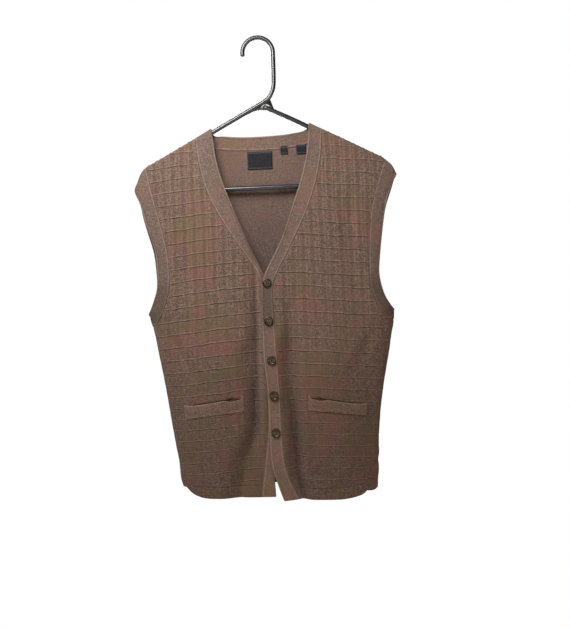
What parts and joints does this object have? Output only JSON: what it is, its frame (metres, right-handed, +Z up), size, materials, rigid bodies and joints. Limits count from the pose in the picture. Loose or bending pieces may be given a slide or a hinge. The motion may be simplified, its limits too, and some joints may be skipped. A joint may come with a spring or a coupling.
{
  "type": "sleeveless waffle-knit cardigan on a tubular hanger",
  "caption": "Sleeveless V-neck waffle-knit cardigan with a buttoned placket, welt pockets and side vents, hanging open-necked on a tubular plastic hanger.",
  "frame": {"origin": "inner top of the hanger's hook, where the rail or pin that holds it touches", "axes": "+Z up along the hanging garment, front towards -Y, +X to the right as seen from the front"},
  "size_m": [0.4383, 0.0882, 0.785],
  "materials": {
    "waffle_knit": "heathered taupe-brown waffle knit, matte",
    "band_knit": "plain fine knit, matte",
    "welt_knit": "fine rib knit, matte",
    "pocket_knit": "plain fine knit, matte",
    "hanger_plastic": "glossy black",
    "button_plastic": "glossy dark brown",
    "label_satin": "woven black satin, bare"
  },
  "bodies": {
    "root": {"hanger": "hanger_plastic", "back": "waffle_knit", "front_left": "waffle_knit", "front_right": "waffle_knit", "front_band_left": "band_knit", "front_band_right": "band_knit", "back_neck_band": "band_knit", "armhole_band_left": "band_knit", "armhole_band_right": "band_knit", "pocket_welt_left": "welt_knit", "pocket_welt_right": "welt_knit", "pocket_lining_left": "pocket_knit", "pocket_lining_right": "pocket_knit", "button_1": "button_plastic", "button_2": "button_plastic", "button_3": "button_plastic", "button_4": "button_plastic", "button_5": "button_plastic", "neck_label": "label_satin", "size_tab": "label_satin", "care_tab": "label_satin"}
  },
  "joints": []
}
